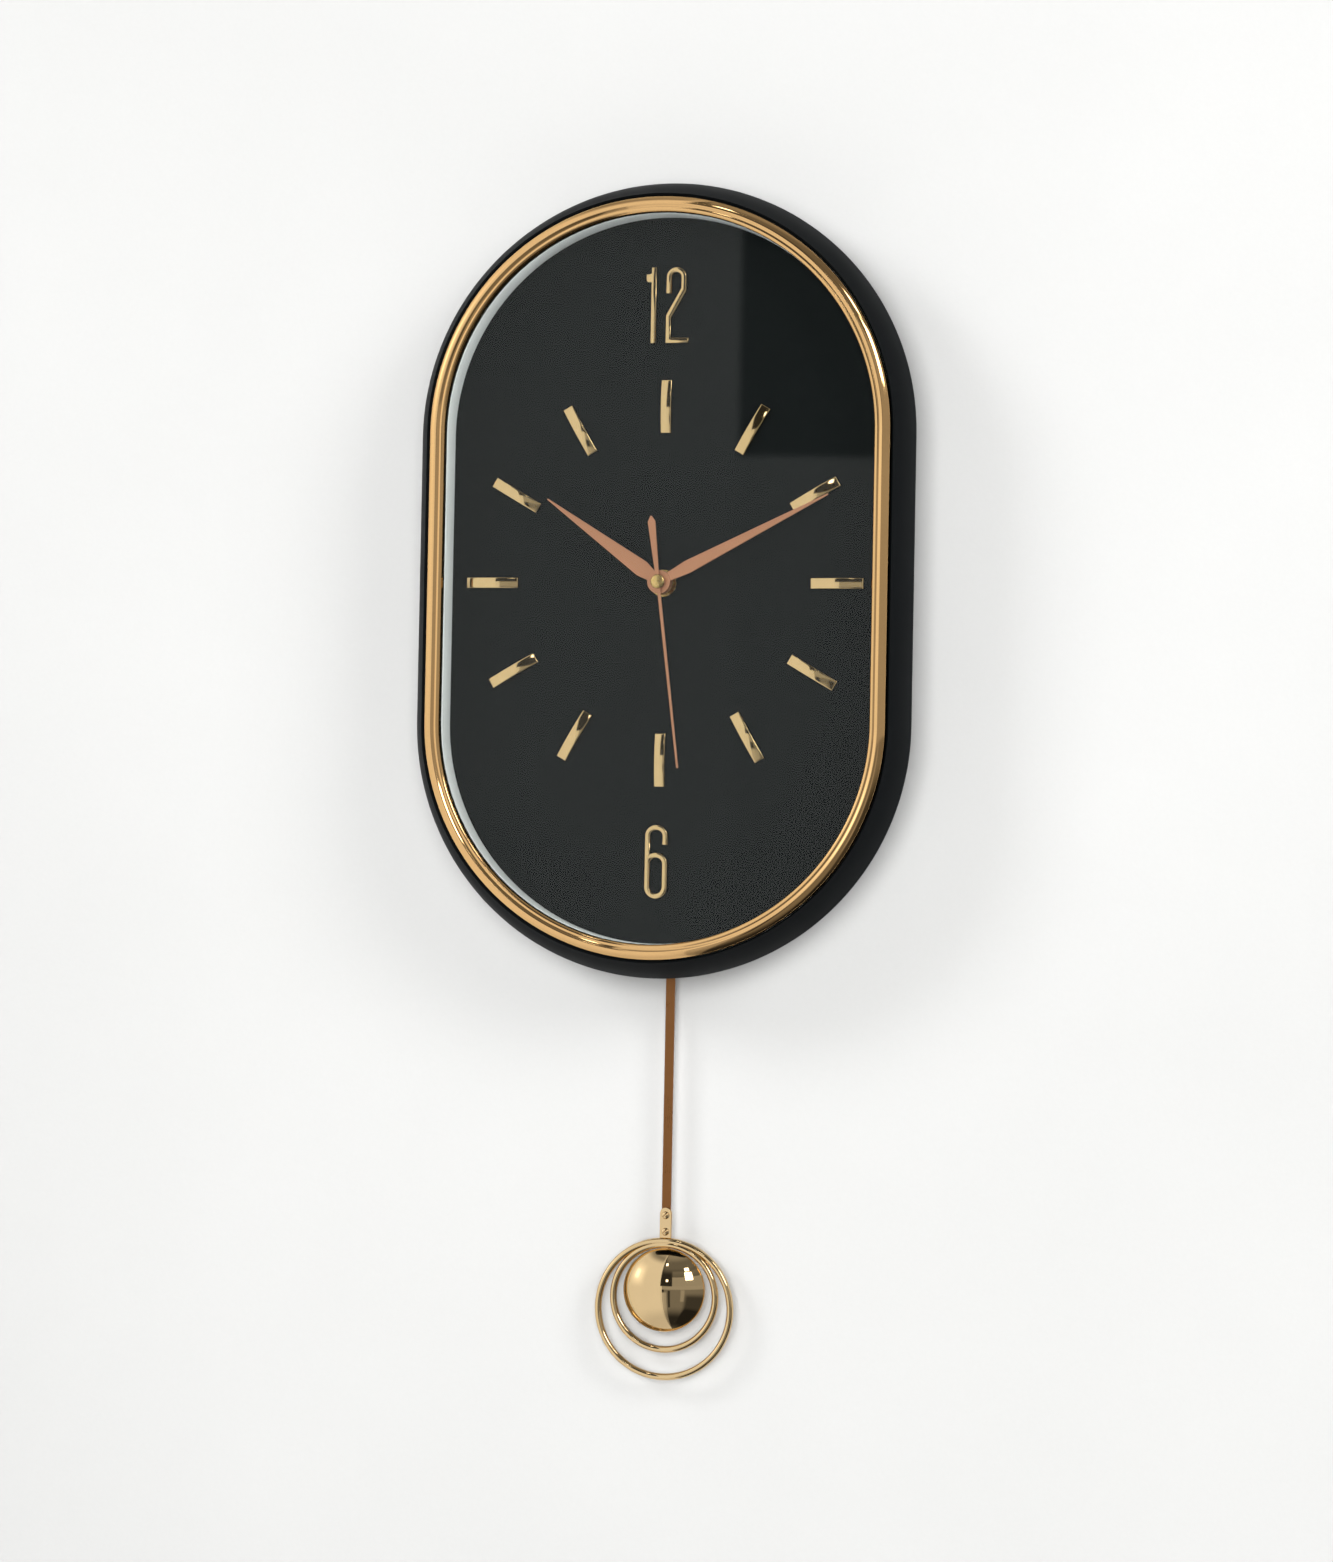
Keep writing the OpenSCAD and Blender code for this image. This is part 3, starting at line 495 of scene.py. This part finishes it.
def build_bezel():
    """A broad outer slope, a narrow crest, an inner slope and a lower rounded bead inside it."""
    outer, inner = BEZEL.width / 2, GLASS.width / 2 - 4.3 * MM
    back, front, glass_h = BEZEL.back, BEZEL.front, GLASS.front + 0.1 * MM
    bends = ((0.4 * MM, 74, 46), (3.7 * MM, 40, 15), (0.9 * MM, 15, -34), (1.2 * MM, -34, -26),
             (0.3 * MM, -26, 30), (outer - inner - 6.5 * MM, 30, -60))
    crest = max(point[1] for point in profile_from((outer, 0), bends))
    face = profile_from((outer, front - crest), bends)
    seat = GLASS.width / 2 + 0.5 * MM
    corners = [(outer, back, 0.2 * MM), *face, (inner, glass_h, 0), (seat, glass_h, 0), (seat, back, 0)]
    shape = swept(filleted(corners), stadium_path(200, 60))
    stand_in("bezel_ring", "bezel_trim", mesh_from(shape, "bezel_trim"), 60)


def build_reflector():
    """The silver wall between the glass and the dial, with a flange at the glass."""
    inner, outer, wall = GLASS.width / 2 - 4.45 * MM, REFLECTOR.width / 2, 1.15 * MM
    back, front = REFLECTOR.back, REFLECTOR.front
    corners = [(inner, back, 0.3 * MM), (inner + wall, back, 0), (inner + wall, front - wall, 0),
               (outer, front - wall, 0), (outer, front, 0), (inner, front, 0.5 * MM)]
    shape = swept(filleted(corners), stadium_path())
    stand_in("reflector_ring", "reflector_wall", mesh_from(shape, "reflector_wall"), 40)


# ---------------------------------------------------------------- dial furniture and hands

def build_markers():
    """Twelve crowned bars, pillowed along their length, round the hand arbor."""
    first = Extent("hour_marker_12")
    radius, length, width = first.z - ARBOR.z, first.height, first.width
    relief = first.front - first.back
    sag, crown, round_over = 1.5 * MM, 0.1 * MM, 0.5 * MM
    along_steps, across_steps = 40, 20
    to_arbor = Matrix.Translation(Vector((ARBOR.x, 0, ARBOR.z)))
    for hour in range(1, 13):
        node = f"hour_marker_{hour:02d}"
        shape = bmesh.new()
        rows = []
        for i in range(along_steps + 1):
            v = math.cos(math.pi * (1 - i / along_steps))
            row = []
            for j in range(across_steps + 1):
                u = math.cos(math.pi * (1 - j / across_steps))
                edge_gap = min((1 - abs(u)) * width / 2, (1 - abs(v)) * length / 2, round_over)
                shoulder = round_over - math.sqrt(round_over ** 2 - (round_over - edge_gap) ** 2)
                lift = relief - sag * v * v - crown * u * u - shoulder
                place = (u * width / 2, -(first.back + lift), radius + v * length / 2)
                row.append(shape.verts.new(place))
            rows.append(row)
        for i in range(along_steps):
            for j in range(across_steps):
                shape.faces.new((rows[i][j], rows[i][j + 1], rows[i + 1][j + 1], rows[i + 1][j]))
        rim = [*rows[0][:-1], *(row[-1] for row in rows[:-1]), *rows[-1][:0:-1],
               *(row[0] for row in rows[:0:-1])]
        foot = [shape.verts.new((vert.co.x, -first.back, vert.co.z)) for vert in rim]
        for i in range(len(rim)):
            k = (i + 1) % len(rim)
            shape.faces.new((rim[i], rim[k], foot[k], foot[i]))
        shape.faces.new(foot)
        shape.transform(to_arbor @ Matrix.Rotation(math.radians(30 * hour), 4, "Y"))
        stand_in(node, f"hour_bar_{hour:02d}", mesh_from(shape, node), 50)


def build_numeral(node, name):
    """A CAD numeral with its strokes rounded over: the front face steps inwards as it rises."""
    across, rise, steps = 0.8 * MM, 1.2 * MM, 7
    shape = bmesh.new()
    shape.from_mesh(frame["nodes"][node].data)
    bmesh.ops.remove_doubles(shape, verts=shape.verts, dist=1e-7)
    front_y, same_height = -Extent(node).front, 1e-6
    front = [face for face in shape.faces
             if all(abs(vert.co.y - front_y) < same_height for vert in face.verts)]
    for vert in {vert for face in front for vert in face.verts}:
        vert.co.y += rise
    for i in range(steps):
        low, high = (math.pi / 2 * step / steps for step in (i, i + 1))
        bmesh.ops.inset_region(shape, faces=front, use_even_offset=True,
                               thickness=across * (math.cos(low) - math.cos(high)),
                               depth=rise * (math.sin(high) - math.sin(low)))
    stand_in(node, name, mesh_from(shape, name), 50)


def build_dial_furniture():
    build_markers()
    build_numeral("numeral_one", "digit_one")
    build_numeral("numeral_two", "digit_two")
    build_numeral("numeral_six", "digit_six")
    rounded_copy("fixing_nut", "hex_nut", 0.25 * MM)


def build_hands():
    rounded_copy("hour_hand", "hour_blade", 0.18 * MM)
    rounded_copy("minute_hand", "minute_blade", 0.18 * MM)
    rounded_copy("second_hand", "second_blade", 0.14 * MM)
    cap = Extent("second_hand_cap")
    r, base, top = cap.width / 2, cap.back, cap.front
    shoulder, rim, chamfer = base + 0.7 * MM, 0.35 * MM, 0.15 * MM
    steps = 16
    dome = []
    for i in range(steps + 1):
        turn = math.pi / 2 * i / steps
        dome.append((r * math.sin(turn), shoulder + (top - shoulder) * math.cos(turn)))
    profile = [*dome, (r, base + rim), (r - chamfer, base), (0, base)]
    stand_in("second_hand_cap", "arbor_cap", lathe(profile, cap.x, cap.z, "arbor_cap", 64), 50)


# ---------------------------------------------------------------- pendulum

def arc(mid, height, radius, start, end, steps):
    """Points of (radius, height) along an arc, its angles in radians from straight out."""
    turns = [start + (end - start) * i / steps for i in range(steps + 1)]
    return [(mid + radius * math.cos(turn), height + radius * math.sin(turn)) for turn in turns]


def build_ring(node, name):
    """A ring of round wire."""
    ring = Extent(node)
    wire = (ring.front - ring.back) / 2
    mid, centre_h = ring.width / 2 - wire, (ring.front + ring.back) / 2
    profile = arc(mid, centre_h, wire, 0, 2 * math.pi, 40)
    stand_in(node, name, lathe(profile, ring.x, ring.z, name, 288), 60)


def build_dome():
    """A thin shell, part of a sphere outside and inside, with a small rounded lip."""
    dome = Extent("bob_dome")
    r, base, top = dome.width / 2, dome.back, dome.front
    rise = top - base
    sphere = (r * r + rise * rise) / (2 * rise)
    centre = top - sphere
    shell, lip_h, chamfer = 1.0 * MM, 0.5 * MM, 0.15 * MM
    outer_steps, inner_steps = 60, 24
    inside = sphere - shell
    edge, inner_edge = math.asin(r / sphere), math.acos((base - centre) / inside)
    outer = arc(0, centre, sphere, math.pi / 2, math.pi / 2 - edge, outer_steps)[:-1]
    lip = [(r, base + lip_h), (r, base + chamfer), (r - chamfer, base), (r - shell, base)]
    inner = arc(0, centre, inside, math.pi / 2 - inner_edge, math.pi / 2, inner_steps)[1:]
    stand_in("bob_dome", "dome_shell", lathe(outer + lip + inner, dome.x, dome.z, "dome_shell", 192), 50)


def build_bob_screws():
    """Two round-headed screws, each with a slot that runs aslant."""
    pair, plate = Extent("bob_screws"), Extent("bob_plate")
    head_r, shank_r = pair.width / 2, 1.0 * MM
    low, rise = plate.front, pair.front - plate.front
    slot_half, slot_depth, slot_edge = 0.42 * MM, 0.7 * rise, 0.2 * MM
    slot_turn, fullness = math.radians(40), 0.8
    rings, steps = 22, 120
    for name, z in (("upper_bob_screw", pair.high.z - head_r), ("lower_bob_screw", pair.low.z + head_r)):
        shape = bmesh.new()
        rows = []
        for i in range(1, rings + 1):
            r = head_r * math.sin(math.pi / 2 * i / rings)
            dome = low + rise * math.cos(math.pi / 2 * i / rings) ** fullness
            row = []
            for j in range(steps):
                turn = 2 * math.pi * j / steps
                off_slot = abs(r * math.sin(turn - slot_turn)) - slot_half
                sunk = slot_depth * min(max(0.5 - off_slot / slot_edge, 0), 1)
                h = max(min(dome, pair.front - sunk), low)
                row.append(shape.verts.new((pair.x + r * math.cos(turn), -h, z + r * math.sin(turn))))
            rows.append(row)
        for h in (low, pair.back):
            turns = [2 * math.pi * j / steps for j in range(steps)]
            rows.append([shape.verts.new((pair.x + shank_r * math.cos(turn), -h,
                                          z + shank_r * math.sin(turn))) for turn in turns])
        for inner, outer in zip(rows, rows[1:]):
            for j in range(steps):
                k = (j + 1) % steps
                shape.faces.new((inner[j], inner[k], outer[k], outer[j]))
        shape.faces.new(rows[0])
        shape.faces.new(rows[-1])
        stand_in("bob_screws", name, mesh_from(shape, name), 40)


def build_pendulum():
    build_ring("bob_outer_ring", "outer_wire_ring")
    build_ring("bob_inner_ring", "inner_wire_ring")
    build_dome()
    build_bob_screws()
    rounded_copy("bob_plate", "bob_clip", 0.3 * MM)
    rounded_copy("bob_back_plate", "dome_back", 0.3 * MM)
    rounded_copy("pendulum_rod", "rod_strip", 0.22 * MM)
    rounded_copy("swing_arm", "swing_lever", 0.3 * MM)
    rounded_copy("drive_magnet", "arm_magnet", 0.3 * MM)


# ---------------------------------------------------------------- the back

def build_back():
    rounded_copy("rear_cover", "back_panel", 0.35 * MM)
    rounded_copy("movement_case_rear", "movement_back", 0.5 * MM)
    rounded_copy("movement_case_front", "movement_front", 0.5 * MM)
    rounded_copy("pendulum_case", "pendulum_box", 0.6 * MM)
    rounded_copy("setting_knob", "time_knob", 0.25 * MM, 2)
    rounded_copy("rear_cover_screws", "cover_screw_heads", 0.15 * MM, 2)
    rounded_copy("battery", "aa_cell", 0.5 * MM)


def dress_kept_nodes():
    """Gives each CAD node that still shows its slot's material."""
    for node, obj in frame["nodes"].items():
        if obj.hide_render:
            continue
        for holder in obj.material_slots:
            holder.material = MATERIALS[SLOT_OF[node]]


build_case()
build_bezel()
build_reflector()
build_dial_furniture()
build_hands()
build_pendulum()
build_back()
dress_kept_nodes()


# ---------------------------------------------------------------- wall and floor

def plane(name, corners):
    mesh = bpy.data.meshes.new(name)
    mesh.from_pydata(corners, [], [(0, 1, 2, 3)])
    obj = bpy.data.objects.new(name, mesh)
    bpy.context.scene.collection.objects.link(obj)
    return obj


def wall_paint():
    """Off-white paint, seen only from the room's side, so that the clock's back can be looked at."""
    material, nodes, coords = new_material("wall_paint")
    rolled = nodes.noise(coords, 1 / (2.5 * MM), 4.0)
    clouds = nodes.noise(coords, 1 / 0.35, 3.0)
    color = nodes.blend(nodes.spread(clouds, 0.0, 1.0), (0.380, 0.380, 0.376, 1), (0.398, 0.398, 0.394, 1))
    paint = nodes.add("BsdfPrincipled", {"Base Color": color, "Roughness": nodes.spread(rolled, 0.7, 0.85),
                                         "Normal": nodes.bump(rolled, 0.25, 0.15 * MM)}).outputs[0]
    behind = nodes.add("NewGeometry").outputs["Backfacing"]
    shadow = nodes.add("LightPath").outputs["Is Shadow Ray"]
    open_side = nodes.math("MAXIMUM", behind, shadow)
    clear = nodes.add("BsdfTransparent").outputs[0]
    show(nodes, nodes.add("MixShader", {0: open_side, 1: paint, 2: clear}).outputs[0])
    return material


def floor_paint():
    """Pale matt floor. The camera sees it mostly evenly lit; other surfaces see the plain paint."""
    material, nodes, coords = new_material("floor_paint")
    clouds = nodes.noise(coords, 1 / 0.5, 4.0)
    specks = nodes.noise(coords, 1 / (3 * MM), 3.0)
    paint = nodes.add("BsdfPrincipled", {
        "Base Color": nodes.blend(clouds, (0.44, 0.44, 0.435, 1), (0.48, 0.48, 0.475, 1)),
        "Roughness": nodes.spread(specks, 0.6, 0.8), "Normal": nodes.bump(specks, 0.2, 0.1 * MM)}).outputs[0]
    even = nodes.add("Emission", {"Color": nodes.blend(clouds, (0.70, 0.70, 0.69, 1), (0.76, 0.76, 0.75, 1))})
    evenness = 0.8
    share = nodes.math("MULTIPLY", nodes.add("LightPath").outputs["Is Camera Ray"], evenness)
    show(nodes, nodes.add("MixShader", {0: share, 1: paint, 2: even.outputs[0]}).outputs[0])
    return material


WALL_GAP, WALL_HALF_WIDTH, WALL_TOP = 0.5 * MM, 4, 2.5
FLOOR_Z, FLOOR_HALF_WIDTH = -1.7, 9

wall = plane("wall", [(-WALL_HALF_WIDTH, WALL_GAP, FLOOR_Z), (WALL_HALF_WIDTH, WALL_GAP, FLOOR_Z),
                      (WALL_HALF_WIDTH, WALL_GAP, WALL_TOP), (-WALL_HALF_WIDTH, WALL_GAP, WALL_TOP)])
wall.data.materials.append(wall_paint())
floor = plane("floor", [(-FLOOR_HALF_WIDTH, -FLOOR_HALF_WIDTH, FLOOR_Z),
                        (FLOOR_HALF_WIDTH, -FLOOR_HALF_WIDTH, FLOOR_Z),
                        (FLOOR_HALF_WIDTH, FLOOR_HALF_WIDTH, FLOOR_Z),
                        (-FLOOR_HALF_WIDTH, FLOOR_HALF_WIDTH, FLOOR_Z)])
floor.data.materials.append(floor_paint())
floor.visible_glossy = False


# ---------------------------------------------------------------- light

LAMPS = (
    # name, azimuth, elevation, distance, width, height, power
    ("front", 8, 1, 3.4, 1.4, 1.3, 160),
    ("key", -44, 26, 3.0, 1.1, 1.0, 56),
    ("fill", 48, 22, 3.0, 1.4, 1.2, 46),
    ("back_left", -145, 20, 3.0, 1.6, 1.6, 130),
    ("back_right", 140, 10, 3.0, 1.6, 1.6, 90),
)
LAMP_TARGET = Vector((CASE.x, 0, -0.25))


def build_lamps():
    """Soft lamps aimed at the clock. Azimuth is 0 straight out from the wall and negative on the left."""
    for name, azimuth, elevation, distance, width, height, power in LAMPS:
        turn, rise = math.radians(azimuth), math.radians(elevation)
        way = Vector((math.sin(turn) * math.cos(rise), -math.cos(turn) * math.cos(rise), math.sin(rise)))
        data = bpy.data.lights.new(name, "AREA")
        data.shape, data.size, data.size_y = "RECTANGLE", width, height
        data.energy = power
        lamp = bpy.data.objects.new(name, data)
        lamp.visible_camera = lamp.visible_glossy = False
        lamp.location = LAMP_TARGET + distance * way
        lamp.rotation_mode = "QUATERNION"
        lamp.rotation_quaternion = (-distance * way).to_track_quat("-Z", "Y")
        bpy.context.scene.collection.objects.link(lamp)


PATCHES = (
    # What the room mirrors: azimuths left and right, elevations low and high, softness, brightness
    (-178, -12.6, 5.8, 96, 0.08, 0.90),
    (-178, -12.6, -90, 5.8, 0.08, 0.90),
    (-12.6, -9, -90, 5.8, 0.08, 0.82),
    (-9, -5, -90, -7, 1.0, 0.50),
    (-5, 0, -90, -7, 1.5, 0.22),
    (-178, 178, -90, -48, 14.0, -0.20),
    (-84, -56, 8, 34, 10.0, 0.5),
    (-77, -67, 15, 27, 4.0, 1.0),
    (-178, -14, 56, 96, 8.0, -0.80),
    (-178, 178, 62, 90, 8.0, 0.28),
    (-9, 95, -1, 5.8, 0.5, 0.38),
    (-5, 95, -90, -1, 0.6, 0.20),
    (12, 95, 5.8, 24, 0.8, 0.36),
    (-12, 95, 36, 64, 8.0, 0.14),
    (12, 95, 24, 36, 3.0, 0.14),
    (95, 178, -90, 75, 6.0, 0.80),
    (3, 8, -38, -3, 1.0, -0.18),
    (30, 38, -25, -2, 1.5, 0.16),
    (40, 92, -70, -12, 6.0, -0.17),
    (41, 58, 18, 33, 0.8, 8.0),
    (43, 54, 36, 42, 0.8, 7.0),
    (-6, -1, 48, 53, 0.8, 7.0),
    (-1, 3, 15, 19, 0.8, 6.0),
    (-150, -110, 55, 75, 4.0, 4.0),
)
BASE_GLOW, LEAST_GLOW = 0.03, 0.02


def build_studio():
    """The room that polished parts mirror: a pale side on the left, a dimmer one on the right with
    bright windows. What the camera sees directly stays pale."""
    world = bpy.data.worlds.new("studio")
    bpy.context.scene.world = world
    world.use_nodes = True
    nodes = Nodes(world.node_tree)
    way = nodes.add("SeparateXYZ", {"Vector": nodes.add("TexCoord").outputs["Generated"]}).outputs
    azimuth = nodes.math("ARCTAN2", way["X"], nodes.math("MULTIPLY", way["Y"], -1.0))
    height = nodes.math("ARCSINE", way["Z"])

    def ramp(value, start, end):
        """Rises smoothly from 0 at start to 1 at end, both in degrees."""
        node = nodes.add("MapRange", {"Value": value, "From Min": math.radians(start),
                                      "From Max": math.radians(end)}, interpolation_type="SMOOTHSTEP")
        return node.outputs["Result"]

    def panel(left, right, low, high, soft):
        """One inside a patch of the room, and nought outside it."""
        sides = nodes.math("MULTIPLY", ramp(azimuth, left - soft, left + soft),
                           ramp(azimuth, right + soft, right - soft))
        ends = nodes.math("MULTIPLY", ramp(height, low - soft, low + soft),
                          ramp(height, high + soft, high - soft))
        return nodes.math("MULTIPLY", sides, ends)

    total = BASE_GLOW
    for left, right, low, high, soft, brightness in PATCHES:
        part = nodes.math("MULTIPLY", panel(left, right, low, high, soft), brightness)
        total = nodes.math("ADD", part, total)
    total = nodes.math("MAXIMUM", total, LEAST_GLOW)
    mirrored = nodes.add("Background", {"Color": (1.0, 0.985, 0.96, 1), "Strength": total}).outputs[0]
    around = nodes.add("Background", {"Color": (0.95, 0.98, 1.0, 1), "Strength": 0.07}).outputs[0]
    seen = nodes.add("Background", {"Color": (0.86, 0.865, 0.86, 1), "Strength": 1.0}).outputs[0]
    path = nodes.add("LightPath").outputs
    lit = nodes.add("MixShader", {0: path["Is Diffuse Ray"], 1: mirrored, 2: around}).outputs[0]
    shown = nodes.add("MixShader", {0: path["Is Camera Ray"], 1: lit, 2: seen}).outputs[0]
    nodes.add("OutputWorld", {"Surface": shown})


build_studio()
build_lamps()


# ---------------------------------------------------------------- camera

CAMERA_PLACE = (0.6094, -2.5798, -0.3849)
YAW, PITCH, ROLL = 13.456, 1.563, 1.086
LENS, SENSOR_WIDTH = 101.6, 36


def build_camera():
    """A camera to the clock's right that looks left (yaw), a little up (pitch), and is rolled."""
    data = bpy.data.cameras.new("camera")
    data.lens, data.sensor_width = LENS, SENSOR_WIDTH
    camera = bpy.data.objects.new("camera", data)
    yaw, pitch, roll = (math.radians(angle) for angle in (YAW, PITCH, ROLL))
    ahead = Vector((-math.sin(yaw) * math.cos(pitch), math.cos(yaw) * math.cos(pitch), math.sin(pitch)))
    right = Vector((math.cos(yaw), math.sin(yaw), 0))
    up = right.cross(ahead)
    side = math.cos(roll) * right + math.sin(roll) * up
    top = -math.sin(roll) * right + math.cos(roll) * up
    turn = Matrix((side, top, -ahead)).transposed().to_4x4()
    camera.matrix_world = Matrix.Translation(CAMERA_PLACE) @ turn
    bpy.context.scene.collection.objects.link(camera)
    bpy.context.scene.camera = camera


build_camera()
bpy.context.scene.view_settings.view_transform = "Standard"
